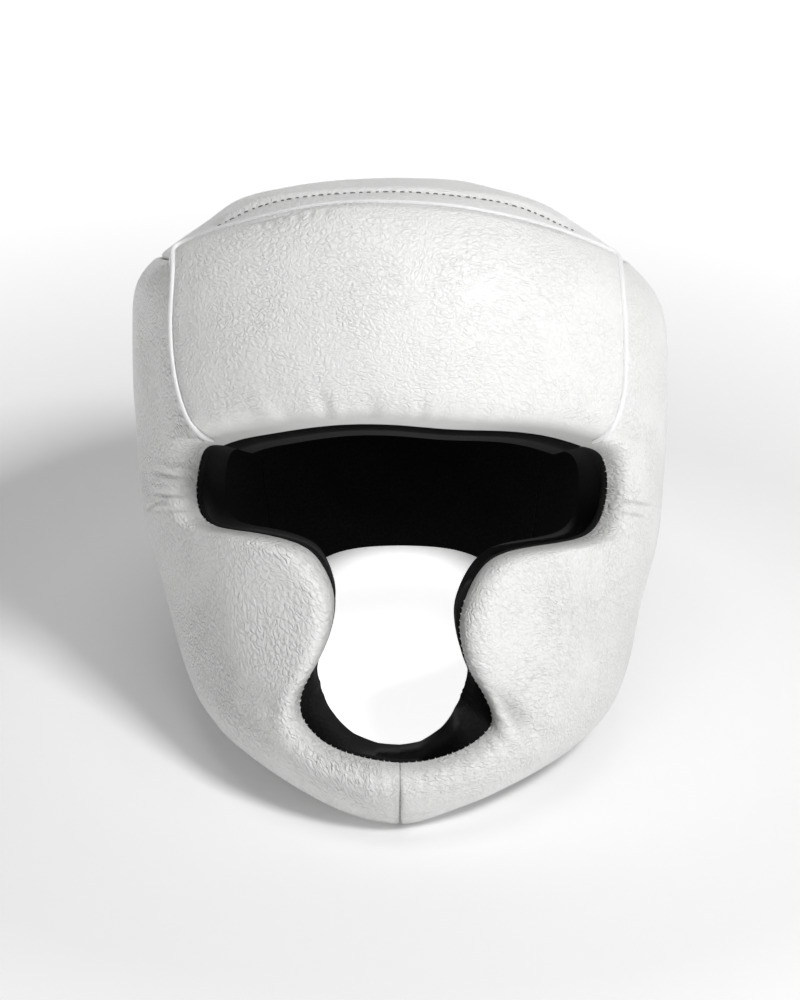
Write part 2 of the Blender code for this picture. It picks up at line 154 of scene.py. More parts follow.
SECTIONS = [
    # elevation, rise, left, right, front, centre, back
    (-90, -1.000, 0.000, 0.000, 0.700, 0.70, -0.643),
    (-80, -0.985, 0.150, 0.110, 0.840, 0.66, -0.420),
    (-70, -0.940, 0.292, 0.252, 0.970, 0.60, -0.150),
    (-60, -0.865, 0.450, 0.468, 1.055, 0.50, 0.180),
    (-50, -0.760, 0.620, 0.672, 1.095, 0.38, 0.500),
    (-40, -0.640, 0.744, 0.798, 1.090, 0.27, 0.710),
    (-30, -0.500, 0.815, 0.862, 1.060, 0.16, 0.840),
    (-20, -0.340, 0.868, 0.905, 1.025, 0.07, 0.900),
    (-10, -0.170, 0.925, 0.960, 1.000, 0.02, 0.930),
    (0, 0.000, 0.968, 0.985, 0.990, 0.00, 0.960),
    (10, 0.190, 0.985, 1.000, 1.000, 0.00, 0.990),
    (20, 0.380, 1.000, 1.000, 1.000, 0.00, 1.000),
    (30, 0.570, 1.000, 0.985, 0.975, 0.00, 0.985),
    (40, 0.720, 0.945, 0.870, 0.920, 0.00, 0.930),
    (50, 0.850, 0.742, 0.670, 0.800, 0.00, 0.800),
    (60, 0.930, 0.606, 0.510, 0.620, 0.00, 0.620),
    (70, 0.970, 0.430, 0.340, 0.420, 0.00, 0.420),
    (80, 0.995, 0.220, 0.180, 0.210, 0.00, 0.210),
    (90, 1.000, 0.000, 0.000, 0.000, 0.00, 0.000),
]

RIBS = [
    # left azimuth, elevation, setback, right azimuth, elevation, setback, end azimuth, elevation
    (0.0, -54.7, 0.10, 0.0, -54.7, 0.10, 0.0, -82.0),
    (-10.0, -53.9, 0.12, 8.5, -54.3, 0.06, 18.0, -81.0),
    (-20.0, -52.2, 0.06, 17.0, -52.6, -0.10, 36.0, -77.5),
    (-27.5, -49.4, -0.12, 23.5, -49.9, -0.35, 50.0, -72.0),
    (-31.2, -45.0, -0.23, 27.2, -46.2, -0.47, 62.0, -65.0),
    (-31.2, -40.5, -0.21, 27.2, -43.0, -0.43, 73.0, -58.0),
    (-28.0, -35.4, -0.02, 25.0, -39.6, -0.27, 84.0, -51.5),
    (-23.0, -30.2, 0.12, 21.5, -35.4, -0.05, 94.0, -46.0),
    (-18.9, -24.5, 0.16, 17.5, -30.5, 0.03, 103.0, -41.0),
    (-16.8, -18.7, 0.16, 15.1, -24.0, 0.04, 112.0, -36.5),
    (-17.3, -14.2, 0.16, 15.1, -19.8, 0.04, 121.0, -33.0),
    (-19.8, -10.1, 0.14, 16.5, -15.8, 0.06, 129.0, -30.0),
    (-25.0, -6.9, 0.12, 20.5, -10.6, 0.10, 135.0, -27.0),
    (-36.0, -5.2, 0.10, 29.0, -8.0, 0.10, 135.0, -20.0),
    (-47.0, -4.7, 0.10, 42.0, -7.1, 0.10, 135.0, -13.0),
    (-55.0, -3.2, 0.10, 52.0, -5.3, 0.10, 135.0, -6.0),
    (-57.3, 0.6, 0.10, 56.5, -0.6, 0.10, 135.0, 0.0),
    (-55.8, 5.1, 0.10, 56.6, 4.5, 0.10, 135.0, 6.0),
    (-51.8, 9.4, 0.10, 52.7, 8.5, 0.10, 135.0, 12.0),
]

BROW_SIDE = [
    # left azimuth, elevation, setback, right azimuth, elevation, setback, end azimuth, elevation
    (-45.0, 10.2, 0.10, 46.0, 10.0, 0.10, 135.0, 18.0),
    (-48.0, 13.2, 0.00, 48.7, 13.0, 0.00, 135.0, 24.0),
    (-50.7, 17.8, 0.00, 51.0, 17.5, 0.00, 135.0, 29.0),
    (-52.8, 25.0, 0.00, 51.8, 25.0, 0.00, 135.0, 33.5),
    (-53.0, 32.3, 0.00, 53.4, 31.3, 0.00, 135.0, 37.5),
    (-56.0, 37.6, 0.00, 57.5, 36.3, 0.00, 135.0, 41.0),
    (-63.0, 41.8, 0.00, 64.5, 40.8, 0.00, 135.0, 44.0),
]

BROW_EDGES = [
    # across, bottom elevation, top elevation
    (0.00, 10.2, 41.8),
    (0.06, 11.3, 45.4),
    (0.14, 12.3, 48.6),
    (0.25, 13.5, 52.0),
    (0.36, 14.3, 54.2),
    (0.50, 14.2, 54.4),
    (0.62, 13.5, 53.3),
    (0.75, 13.1, 50.5),
    (0.88, 12.0, 46.3),
    (1.00, 10.0, 40.8),
]

NAPE = [
    # from the middle, hem elevation, seam elevation
    (0.0, -14.4, 46.0),
    (14.0, -14.9, 45.8),
    (24.0, -16.5, 45.4),
    (32.0, -19.3, 44.9),
    (39.0, -23.1, 44.4),
    (45.0, -27.0, 44.0),
]

# Folds and dents of the leather, each a ridge (or, below zero, a furrow) between two directions.
FOLDS = [
    # pad, from azimuth, elevation, to azimuth, elevation, half width mm, height mm
    ("left_side", -69.0, 4.7, -51.5, 4.0, 1.0, -0.6),
    ("left_side", -67.0, 6.2, -53.0, 5.6, 1.6, 0.5),
    ("left_side", -71.0, 1.0, -50.5, 1.0, 0.9, -0.7),
    ("left_side", -70.0, 2.2, -52.0, 2.2, 1.1, 0.5),
    ("left_side", -79.0, -2.6, -62.0, 0.1, 1.0, -0.6),
    ("left_side", -78.0, -1.4, -52.0, -0.2, 1.2, 0.6),
    ("left_side", -62.0, -1.7, -51.5, -1.5, 0.9, -0.4),
    ("left_side", -64.0, 14.0, -70.0, 30.0, 9.0, -1.2),
    ("left_side", -33.5, -39.0, -40.0, -38.4, 2.2, -0.9),
    ("left_side", -33.5, -40.6, -39.0, -40.4, 1.6, 0.7),
    ("left_side", -34.0, -42.0, -39.0, -42.2, 1.6, -0.7),
    ("left_side", -34.0, -36.8, -50.0, -36.0, 6.5, -1.8),
    ("left_side", -50.0, -36.0, -64.0, -33.0, 8.0, -1.2),
    ("left_side", -38.0, -14.0, -46.0, -26.0, 14.0, 1.1),
    ("left_side", -64.0, -12.0, -72.0, -24.0, 10.0, -0.9),
    ("right_side", 53.0, 2.6, 70.0, 0.8, 1.3, 0.4),
    ("right_side", 52.5, 0.9, 69.5, -1.2, 1.0, -0.6),
    ("right_side", 54.5, -0.4, 68.0, -2.2, 1.2, 0.4),
    ("right_side", 55.0, -1.6, 66.0, -3.0, 1.0, -0.4),
    ("right_side", 59.0, 9.0, 60.0, 3.0, 7.0, -1.3),
    ("right_side", 21.0, -32.0, 38.0, -43.8, 5.0, -3.4),
    ("right_side", 34.0, -41.8, 56.0, -50.0, 4.6, -1.6),
    ("right_side", 44.0, -13.0, 40.0, -26.0, 14.0, 1.0),
    ("right_side", 64.0, -16.0, 70.0, -28.0, 9.0, -0.8),
    ("brow", -38.0, 22.0, 38.0, 21.0, 16.0, 0.7),
    ("brow", -50.0, 20.0, -44.0, 42.0, 7.0, -0.5),
    ("brow", 46.0, 18.0, 48.0, 40.0, 7.0, -0.5),
    ("brow", -41.0, 45.9, -26.0, 49.7, 1.3, -1.0),
    ("brow", -35.3, 47.5, -32.7, 45.6, 1.1, -0.8),
    ("brow", -32.4, 48.0, -30.0, 45.8, 1.2, -0.9),
    ("brow", -29.7, 48.8, -28.0, 46.8, 1.1, -0.8),
    ("brow", -26.5, 49.2, -24.6, 47.0, 1.2, -0.8),
    ("brow", -23.0, 49.8, -21.6, 47.8, 1.1, -0.6),
    ("brow", -19.0, 50.2, -18.0, 48.3, 1.1, -0.5),
]

# Puckers where the leather is drawn over a sewn edge. Start and end are shares of that rim.
PUCKERS = [
    # pad, rim, start, end, pitch mm, height mm, reach mm
    ("left_side", "low", 0.00, 0.26, 5.4, 0.30, 9.0),
    ("left_side", "low", 0.26, 0.70, 7.5, 0.10, 8.0),
    ("left_side", "low", 0.70, 1.00, 6.3, 0.28, 8.0),
    ("right_side", "low", 0.00, 0.26, 5.8, 0.28, 9.0),
    ("right_side", "low", 0.26, 0.70, 7.9, 0.10, 8.0),
    ("right_side", "low", 0.70, 1.00, 6.1, 0.30, 8.0),
    ("left_side", "first", 0.00, 1.00, 6.2, 0.22, 6.0),
    ("right_side", "first", 0.00, 1.00, 6.8, 0.22, 6.0),
    ("brow", "low", 0.10, 0.55, 17.0, 0.85, 9.0),
    ("brow", "low", 0.00, 1.00, 8.3, 0.30, 6.0),
    ("brow", "high", 0.02, 0.42, 4.1, 0.70, 4.6),
    ("brow", "high", 0.42, 0.98, 6.0, 0.14, 5.0),
    ("brow", "first", 0.00, 1.00, 6.5, 0.16, 5.0),
    ("brow", "last", 0.00, 1.00, 6.5, 0.16, 5.0),
    ("crown", "low", 0.00, 1.00, 5.2, 0.20, 5.0),
    ("back", "low", 0.00, 1.00, 8.0, 0.25, 8.0),
]

RIMS = {"first": 0, "last": 1, "low": 2, "high": 3}

UNEVEN = [
    # wavelength mm, height mm
    (38.0, 0.50),
    (17.0, 0.22),
    (8.0, 0.07),
]

PIPING_GROOVES = [
    # distance from the rim, width, height mm
    (PIPING_RING - 0.0017, 0.0009, -0.5),
    (PIPING_RING + 0.0017, 0.0009, -0.6),
]

CROWN_RIM = [
    # distance from the rim, width, height mm: the stitched channel and the swell behind it
    (CHANNEL, 0.0016, -1.4),
    (CHANNEL + 0.0065, 0.0040, 1.0),
]

STRAP_OUTLINE = [
    # share of its length, share of its width
    (0.0, 0.60),
    (0.012, 0.80),
    (0.03, 0.93),
    (0.06, 1.0),
    (0.94, 1.0),
    (0.97, 0.93),
    (0.988, 0.80),
    (1.0, 0.60),
]


def spline(knots, values, at):
    """Natural cubic spline through the rows of values, read at any places."""
    step = np.diff(knots)
    system = np.eye(len(knots))
    right = np.zeros(values.shape)
    for k in range(1, len(knots) - 1):
        system[k, k - 1 : k + 2] = step[k - 1], 2 * (step[k - 1] + step[k]), step[k]
        rise_after = (values[k + 1] - values[k]) / step[k]
        rise_before = (values[k] - values[k - 1]) / step[k - 1]
        right[k] = 6 * (rise_after - rise_before)
    bend = np.linalg.solve(system, right)
    k = np.clip(np.searchsorted(knots, at) - 1, 0, len(knots) - 2)
    width = step[k][..., None]
    a = (knots[k + 1] - at)[..., None] / width
    b = 1 - a
    curve = ((a**3 - a) * bend[k] + (b**3 - b) * bend[k + 1]) * width**2 / 6
    return a * values[k] + b * values[k + 1] + curve


def direction(azimuth, elevation):
    a = np.radians(azimuth)
    e = np.radians(elevation)
    return np.stack([np.sin(a) * np.cos(e), -np.cos(a) * np.cos(e), np.sin(e)], -1)


def unit(vectors):
    length = np.linalg.norm(vectors, axis=-1, keepdims=True)
    return vectors / np.maximum(length, 1e-12)


def form_surface(towards):
    """The point of the head form that each direction names."""
    table = np.array(SECTIONS, float)
    around = np.arctan2(towards[..., 0], -towards[..., 1])
    elevation = np.degrees(np.arcsin(np.clip(towards[..., 2], -1, 1)))
    section = spline(table[:, 0], table[:, 1:], elevation)
    rise, left, right, front, centre, back = np.moveaxis(section, -1, 0)
    across = np.sin(around)
    ahead = np.cos(around)
    middle = -centre * FRONT_REACH
    reach = np.where(ahead > 0, front * FRONT_REACH + middle, back * BACK_REACH - middle)
    x = across * HALF_WIDTH * np.where(across < 0, left, right)
    y = middle - ahead * reach
    z = rise * np.where(rise > 0, CROWN_RISE, CHIN_DROP)
    return np.stack([x, y, z], -1)


def bell(distance, width):
    return np.exp(-((distance / width) ** 2))


def inward(points):
    """The way through the padding: square to the ellipsoid with the same three half sizes."""
    squares = np.array([HALF_WIDTH, FRONT_REACH, CROWN_RISE]) ** 2
    return -unit(points / squares)


def head_point(azimuth, elevation, depth=0.0):
    """A point this far under the outside of the head form."""
    surface = form_surface(direction(azimuth, elevation))
    return surface + np.asarray(depth)[..., None] * inward(surface)


def outward(grid, closed):
    """The way out of a grid of points on the outside, square to its surface."""
    ways = unit(np.cross(np.gradient(grid, axis=0), np.gradient(grid, axis=1)))
    if closed:
        ways[0] = ways[-1] = unit(ways[0] + ways[-1])
    return -np.sign((ways * inward(grid)).sum()) * ways


def roll_drop(distance, radius):
    """How far a rolled edge has dropped at this distance from the rim."""
    short = radius - np.minimum(distance, radius)
    return radius - np.sqrt(np.maximum(radius**2 - short**2, 0))


def edge_distances(points):
    """Distance of each grid point from the first and last column and the first and last row."""
    ends = (points[:1], points[-1:], points[:, :1], points[:, -1:])
    return [np.linalg.norm(points - end, axis=-1) for end in ends]


def drawn_in(points, amounts):
    """Moves the rims of a grid inward by these amounts: first and last column and row."""
    moved = points.copy()
    first, last, low, high = amounts
    moved[0] += first * unit(points[2] - points[0])
    moved[-1] += last * unit(points[-3] - points[-1])
    moved[:, 0] += low * unit(points[:, 2] - points[:, 0])
    moved[:, -1] += high * unit(points[:, -3] - points[:, -1])
    return moved


def set_back(points, gaps, amounts):
    """Moves the first and last rows of a grid back from their rims, less and less further in."""
    way = unit(np.gradient(points, axis=1))
    low, high = (np.clip(1 - gap / SETBACK_RUN, 0, 1) for gap in gaps[2:])
    return points + (amounts[0] * low - amounts[1] * high)[..., None] * way


def arc_length(points, axis=0):
    steps = np.linalg.norm(np.diff(points, axis=axis), axis=-1)
    total = np.cumsum(steps, axis=axis)
    start = np.zeros_like(np.take(total, [0], axis=axis))
    return np.concatenate([start, total], axis=axis)


def smooth_step(low, high, value):
    share = np.clip((value - low) / (high - low), 0, 1)
    return share * share * (3 - 2 * share)


def noise_field(points, wavelength, offset):
    """Smooth noise between about -1 and 1, at one wavelength."""
    flat = points.reshape(-1, 3) / wavelength + offset
    values = [noise.noise(Vector(point)) for point in flat.tolist()]
    return np.array(values).reshape(points.shape[:-1])


def fold_shape(surface, start, end, width):
    """A ridge 1 high between two directions on the head form, lower towards its ends."""
    path = head_point(*np.linspace(start, end, FOLD_STEPS + 1).T)
    away = np.full(surface.shape[:-1], 1.0)
    along = np.zeros(surface.shape[:-1])
    for number, run in enumerate(np.diff(path, axis=0)):
        offset = surface - path[number]
        share = np.clip((offset @ run) / (run @ run), 0, 1)
        distance = np.linalg.norm(offset - share[..., None] * run, axis=-1)
        along = np.where(distance < away, (number + share) / FOLD_STEPS, along)
        away = np.minimum(away, distance)
    taper = np.sin(math.pi * (FOLD_END + (1 - 2 * FOLD_END) * along))
    return taper * bell(away, width)


def pucker_waves(surface, gap, rim, start, end, pitch, reach):
    """Waves about 1 high along a stretch of one rim, uneven and fading away from it."""
    line = (surface[0], surface[-1], surface[:, 0], surface[:, -1])[rim]
    length = arc_length(line)
    share = length / length[-1]
    wander = noise_field(line, 0.011, 3.1 + rim)
    strong = 0.55 + 0.9 * np.abs(noise_field(line, 0.023, 9.7 + rim))
    inside = smooth_step(start - 0.03, start + 0.03, share)
    inside = inside * (1 - smooth_step(end - 0.03, end + 0.03, share))
    wave = np.sin(2 * math.pi * length / pitch + 2.6 * wander) * strong * inside
    wave = wave[None, :] if rim < RIMS["low"] else wave[:, None]
    return wave * bell(gap, reach) * smooth_step(-0.0004, 0.002, gap)


def relief(name, surface, gaps):
    """Height of a pad's folds, puckers and unevenness, and the furrows whose colour gets painted
    shade.
    """
    height = np.zeros(surface.shape[:-1])
    furrows = np.zeros(surface.shape[:-1])
    for number, (wave, high) in enumerate(UNEVEN):
        height += MM * high * noise_field(surface, MM * wave, 7.3 * number + 1.7)
    height *= smooth_step(0.001, 0.012, np.minimum.reduce(gaps))
    for pad, a0, e0, a1, e1, half, high in FOLDS:
        if pad != name:
            continue
        shape = fold_shape(surface, (a0, e0), (a1, e1), MM * half)
        height += MM * high * shape
        # Narrow or deep furrows are marked for painted shade: the leather is painted darker in
        # them
        if high < 0 and (half < SHARP_WIDTH or high < DEEP_DENT):
            furrows = np.maximum(furrows, shape)
    if name == "brow":
        shoulder = np.minimum.reduce([gaps[0], gaps[1], gaps[3]])
        for place, width, high in PIPING_GROOVES:
            height += MM * high * bell(shoulder - place, width)
    if name == "crown":
        ahead = smooth_step(*CROWN_RIM_REACH, surface[..., 1])
        for place, width, high in CROWN_RIM:
            height += MM * high * ahead * bell(gaps[2] - place, width)
    for pad, rim, start, end, pitch, high, reach in PUCKERS:
        if pad != name:
            continue
        number = RIMS[rim]
        waves = pucker_waves(surface, gaps[number], number, start, end, MM * pitch, MM * reach)
        height += MM * high * waves
    return height, furrows


class Panel:
    """A padded panel and the lining behind it, on a fine grid of azimuths and elevations.

    rolls, free and turns go by rim, first and last column and first and last row: the radius of
    its rolled edge, whether it is free, and how much further in the leather turns there. setback
    moves the lining's first and last row back. lift raises the outside, ease widens the gaps at
    the sides, and the first and last column of a closed panel are one.
    """

    def __init__(
        self,
        name,
        azimuth,
        elevation,
        rolls,
        free,
        setback,
        turns,
        lift=0.0,
        ease=0.0,
        closed=False,
    ):
        surface = head_point(azimuth, elevation)
        gaps = edge_distances(surface)
        if closed:
            gaps[0] = gaps[1] = gaps[3] = np.full(azimuth.shape, 1.0)
        drop = np.sqrt(sum(roll_drop(gap, roll) ** 2 for gap, roll in zip(gaps, rolls)))
        limit = np.maximum.reduce([np.broadcast_to(roll, drop.shape) for roll in rolls])
        outer = np.minimum(drop, limit) - lift
        inner = np.full(azimuth.shape, PAD)
        for gap, is_free, turned in zip(gaps, free, turns):
            share = np.clip(gap / LINING_RUN, 0, 1)
            edge = EDGE_ROLL + turned
            wrapped = edge + (PAD - edge) * np.sqrt(share * (2 - share))
            inner = np.where(is_free, np.minimum(inner, wrapped), inner)
        half_gap = SEAM_GAP / 2
        side_gap = half_gap + ease
        rims = [0, 0, half_gap, 0] if closed else [side_gap, side_gap, half_gap, half_gap]
        self.name = name
        self.closed = closed
        height, furrows = relief(name, surface, gaps)
        # Painted shade: the leather is painted darker within a few mm of every rim, at seams and
        # rolled edges, and in the marked furrows
        painted_shade = np.exp(-np.minimum.reduce(gaps) / RIM_SHADE_WIDTH)
        self.edge = np.maximum(painted_shade, furrows)
        rolled = drawn_in(head_point(azimuth, elevation, outer), rims)
        self.outer = rolled + height[..., None] * outward(rolled, closed)
        self.inner = drawn_in(head_point(azimuth, elevation, inner), rims)
        if name.endswith("side"):
            rims[0] = -LINING_LAP
        self.lining_outer = drawn_in(head_point(azimuth, elevation, inner + SEAM_GAP), rims)
        full = np.full(azimuth.shape, PAD + SEAM_GAP + LINING)
        lining_inner = drawn_in(head_point(azimuth, elevation, full), rims)
        self.lining_inner = set_back(lining_inner, gaps, setback)


def at_rest(points):
    """Points of the worn frame, tilted back to where the guard rests."""
    turn = np.array(Matrix.Rotation(-REST_TILT, 3, "X"))
    placed = points @ turn.T + np.array(REST_PLACE)
    placed[..., 2] = np.maximum(placed[..., 2], FLOOR_CLEAR)
    return placed


def new_piece(name, mesh, material, slot, *nodes):
    obj = bpy.data.objects.new(name, mesh)
    bpy.context.scene.collection.objects.link(obj)
    obj.data.materials.append(material)
    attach(obj, "root")
    if nodes:
        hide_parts(*nodes)
    return obj


def slab_mesh(name, outer, inner, edge, closed=False):
    """A closed skin between two grids of points, made from a flat slab of the same cells."""
    columns, rows = outer.shape[0] - 1, outer.shape[1] - 1
    bm = bmesh.new()
    bmesh.ops.create_grid(bm, x_segments=columns, y_segments=rows, size=1.0)
    bmesh.ops.solidify(bm, geom=bm.faces[:], thickness=0.5)
    top = max(v.co.z for v in bm.verts)
    spots = np.array([v.co for v in bm.verts])
    column = np.rint((spots[:, 0] + 1) / 2 * columns).astype(int)
    row = np.rint((spots[:, 1] + 1) / 2 * rows).astype(int)
    is_outer = np.abs(spots[:, 2] - top) < 0.1
    if closed:
        bm.verts.index_update()
        joins = []
        for face in bm.faces:
            corners = [v.index for v in face.verts]
            side = column[corners]
            if (side == 0).all() or (side == columns).all() or (row[corners] == rows).all():
                joins.append(face)
        bmesh.ops.delete(bm, geom=joins, context="FACES")
    places = at_rest(np.where(is_outer[:, None], outer[column, row], inner[column, row]))
    shade = bm.verts.layers.float.new("edge")
    for v, place, near in zip(bm.verts, places.tolist(), edge[column, row].tolist()):
        v.co = place
        v[shade] = near
    if closed:
        bmesh.ops.remove_doubles(bm, verts=bm.verts[:], dist=0.00002)
    if bm.calc_volume(signed=True) < 0:
        bmesh.ops.reverse_faces(bm, faces=bm.faces[:])
    mesh = bpy.data.meshes.new(name)
    bm.to_mesh(mesh)
    bm.free()
    mesh.shade_smooth()
    return mesh


def roll_places(radius, steps=6):
    """Distances from a rim that turn a rolled edge by even angles."""
    return radius * (1 - np.cos(np.linspace(0, math.pi / 2, steps + 1)))


def rolled_shares(first, last, count):
    """Shares from 0 to 1, close together over the rolled part at either end."""
    middle = np.linspace(first, 1 - last, count)[1:-1]
    return np.r_[roll_places(first), middle, 1 - roll_places(last)[::-1]]


def rib_rows(start, end, near, far):
    """Shares along a side pad's rib, close together over its two rolled edges."""
    steps = np.linspace(0, 1, RIB_SAMPLES)
    line = start + (end - start) * steps[:, None]
    length = arc_length(head_point(line[:, 0], line[:, 1]))
    last = length[-1] - roll_places(far)[::-1]
    middle = np.linspace(near, length[-1] - far, RIB_ROWS + 2)[1:-1]
    return np.interp(np.r_[roll_places(near), middle, last], length, steps)


def two_splines(table, corner, at):
    """A spline through the rows up to the corner and another one from there on."""
    knots = np.arange(len(table), dtype=float)
    before = spline(knots[: corner + 1], table[: corner + 1], np.minimum(at, corner))
    after = spline(knots[corner:], table[corner:], np.maximum(at, corner))
    return np.where((at <= corner)[:, None], before, after)


def side_stops(last, corner):
    """Where the columns stand, in rows of the ribs' table: closest at its two ends, and twice as
    close round the eye's corner as elsewhere."""
    fine = 0.35 * (1 - np.cos(np.linspace(0, math.pi / 2, 9)))
    coarse = np.arange(0.45, last - 0.4, 0.1)
    around_eye = (coarse > corner - 6) & (coarse < corner - 0.3)
    return np.sort(np.r_[fine, coarse, coarse[around_eye] + 0.05, last - fine[::-1]])


def side_grid(side):
    """Azimuths and elevations of a side pad, with what Panel needs to know of its rims."""
    first = 0 if side < 0 else 3
    table = np.array(RIBS + BROW_SIDE, float)[:, [first, first + 1, first + 2, 6, 7]]
    last = len(table) - 1
    corner = len(RIBS)
    hem_end = int(np.argmax(table[:, 3] >= REAR_SEAM))
    stops = side_stops(last, corner)
    smooth = two_splines(table, corner, stops)
    linear = np.stack([np.interp(stops, np.arange(last + 1), column) for column in table.T], -1)
    mirror = np.array([side, 1])
    starts = smooth[:, :2]
    hem_ends = smooth[:, 3:5] * mirror
    seam_ends = np.stack([np.minimum(linear[:, 3], REAR_SEAM), smooth[:, 4]], -1) * mirror
    blend = smooth_step(hem_end - 0.01, hem_end + 0.01, stops)[:, None]
    ends = hem_ends * (1 - blend) + seam_ends * blend
    ends[:, 0] = np.clip(ends[:, 0], -REAR_SEAM, REAR_SEAM)
    first_roll = np.where(stops <= corner, EDGE_ROLL, SEAM_ROLL)
    last_roll = np.where(stops <= hem_end, EDGE_ROLL, SEAM_ROLL)
    grid = []
    for start, end, near, far in zip(starts, ends, first_roll, last_roll):
        grid.append(start + (end - start) * rib_rows(start, end, near, far)[:, None])
    grid = np.array(grid)
    rolls = (CHIN_ROLL, SEAM_ROLL, first_roll[:, None], last_roll[:, None])
    free = (False, False, (stops <= corner)[:, None], (stops <= hem_end)[:, None])
    hem_back = np.where(stops <= hem_end, HEM_SETBACK, 0)[:, None]
    setback = (PAD * linear[:, 2:3], hem_back)
    return grid[..., 0], grid[..., 1], rolls, free, setback, (0, 0, LEATHER_TURN, HEM_TURN)


def brow_grid():
    side = np.array(BROW_SIDE, float)
    edges = np.array(BROW_EDGES, float)
    last = len(side) - 1
    side_roll = 0.055
    half_row = 0.5 / last
    across = rolled_shares(side_roll, side_roll, BROW_POINTS[0])
    stops = last * rolled_shares(half_row, half_row, BROW_POINTS[1])
    picked = spline(np.arange(last + 1.0), side[:, [0, 1, 3, 4]], stops)
    azimuth = picked[:, 0] + (picked[:, 2] - picked[:, 0]) * across[:, None]
    left, right = ((low - low[0]) / (low[-1] - low[0]) for low in (picked[:, 1], picked[:, 3]))
    share = left + (right - left) * across[:, None]
    limits = spline(edges[:, 0], edges[:, 1:], across)
    return azimuth, limits[:, :1] + (limits[:, 1:] - limits[:, :1]) * share


def back_grid():
    nape = np.array(NAPE, float)
    side_roll, hem_roll, seam_roll = 0.03, 0.06, 0.025
    across = rolled_shares(side_roll, side_roll, BACK_POINTS[0])
    from_middle = (180 - REAR_SEAM) * (2 * across - 1)
    limits = spline(nape[:, 0], nape[:, 1:], np.abs(from_middle))
    shares = rolled_shares(hem_roll, seam_roll, BACK_POINTS[1])
    azimuth = (180 + from_middle)[:, None] + 0 * shares
    return azimuth, limits[:, :1] + (limits[:, 1:] - limits[:, :1]) * shares


def crown_grid(sides, brow, back):
    """Its seam has the same points as the tops of the panels round it."""
    left, right = sides
    parts = [
        np.stack([brow[0][:, -1], brow[1][:, -1]], -1),
        np.stack([right[0][-1, 1:], right[1][-1, 1:]], -1),
        np.stack([back[0][1:, -1], back[1][1:, -1]], -1),
        np.stack([left[0][-1, -2::-1] + 360, left[1][-1, -2::-1]], -1),
    ]
    seam = np.concatenate(parts)
    rim_roll = 0.075
    rows = np.r_[roll_places(rim_roll), np.linspace(rim_roll, 1, CROWN_ROWS)[1:]]
    azimuth = seam[:, :1] + 0 * rows
    elevation = seam[:, 1:] + (90 - seam[:, 1:]) * rows
    front = np.abs((seam[:, 0] + 180) % 360 - 180)
    roll = SEAM_ROLL + (RIM_ROLL - SEAM_ROLL) * (1 - smooth_step(50, 75, front))
    return azimuth, elevation, roll[:, None]


def pad_and_lining(panel, nodes, leather_material):
    pad_node, lining_node = nodes
    mesh = slab_mesh(panel.name + "_leather", panel.outer, panel.inner, panel.edge, panel.closed)
    pad = new_piece(mesh.name, mesh, leather_material, "white_leather", pad_node)
    mesh = slab_mesh(
        panel.name + "_suede", panel.lining_outer, panel.lining_inner, panel.edge, panel.closed
    )
    lining = new_piece(mesh.name, mesh, suede, "black_suede", lining_node)


def read_along(line, length, places):
    """The rows of a line read at these places, where length is the place of each row."""
    return np.stack([np.interp(places, length, line[:, k]) for k in range(3)], -1)


def sample(line, places):
    """Points of a polyline at these distances along it, and the way that it runs there."""
    length = arc_length(line)
    near = 0.0005
    ahead = read_along(line, length, places + near)
    behind = read_along(line, length, places - near)
    return read_along(line, length, places), unit(ahead - behind)


def offset_line(grid, distance):
    """The line that runs this far in from a grid's first row."""
    lengths = arc_length(grid, axis=1)
    return np.array([read_along(line, length, distance) for line, length in zip(grid, lengths)])


def add_stitches(bm, points, along, out, length, radius, sink):
    """Short round-ended stitches, each lying along the way given and a little into the leather."""
    for point, way, up in zip(points, along, out):
        way = Vector(way)
        up = Vector(up)
        cross = way.cross(up).normalized()
        up = cross.cross(way).normalized()
        turn = Matrix((way, cross, up)).transposed().to_4x4()
        place = Matrix.Translation(Vector(point) + up * (radius - sink))
        shape = Matrix.Diagonal((length / 2, radius, radius, 1))
        bmesh.ops.create_uvsphere(
            bm, u_segments=6, v_segments=5, radius=1.0, matrix=place @ turn @ shape
        )


def stitch_piece(name, rows, material):
    """One piece of all the stitches in some rows: (points, along, out, length, radius, sink)."""
    bm = bmesh.new()
    for row in rows:
        add_stitches(bm, *row)
    for v in bm.verts:
        v.co = at_rest(np.array(v.co))
    bmesh.ops.recalc_face_normals(bm, faces=bm.faces[:])
    mesh = bpy.data.meshes.new(name)
    bm.to_mesh(mesh)
    bm.free()
    mesh.shade_smooth()
    return new_piece(name, mesh, material, "white_leather")


def even_places(line, pitch, start=0.0, end=1.0):
    total = arc_length(line)[-1]
    return np.arange(start * total + pitch / 2, end * total, pitch)


def linear_channel(value):
    return value / 12.92 if value <= 0.04045 else ((value + 0.055) / 1.055) ** 2.4


def linear_colour(code):
    """Linear red, green, blue and alpha of an sRGB colour like #f0f0f0."""
    return tuple(linear_channel(int(code[k : k + 2], 16) / 255) for k in (1, 3, 5)) + (1,)


def add_node(tree, kind, settings=(), **inputs):
    """A shader node, with settings by attribute. An input is named by its socket, or n and its
    number, and gets a value or another node's output."""
    node = tree.nodes.new(kind)
    for attribute, value in dict(settings).items():
        setattr(node, attribute, value)
    for key, value in inputs.items():
        by_number = key[0] == "n" and key[1:].isdigit()
        socket = node.inputs[int(key[1:]) if by_number else key.replace("_", " ")]
        if isinstance(value, bpy.types.NodeSocket):
            tree.links.new(value, socket)
        else:
            socket.default_value = value
    return node


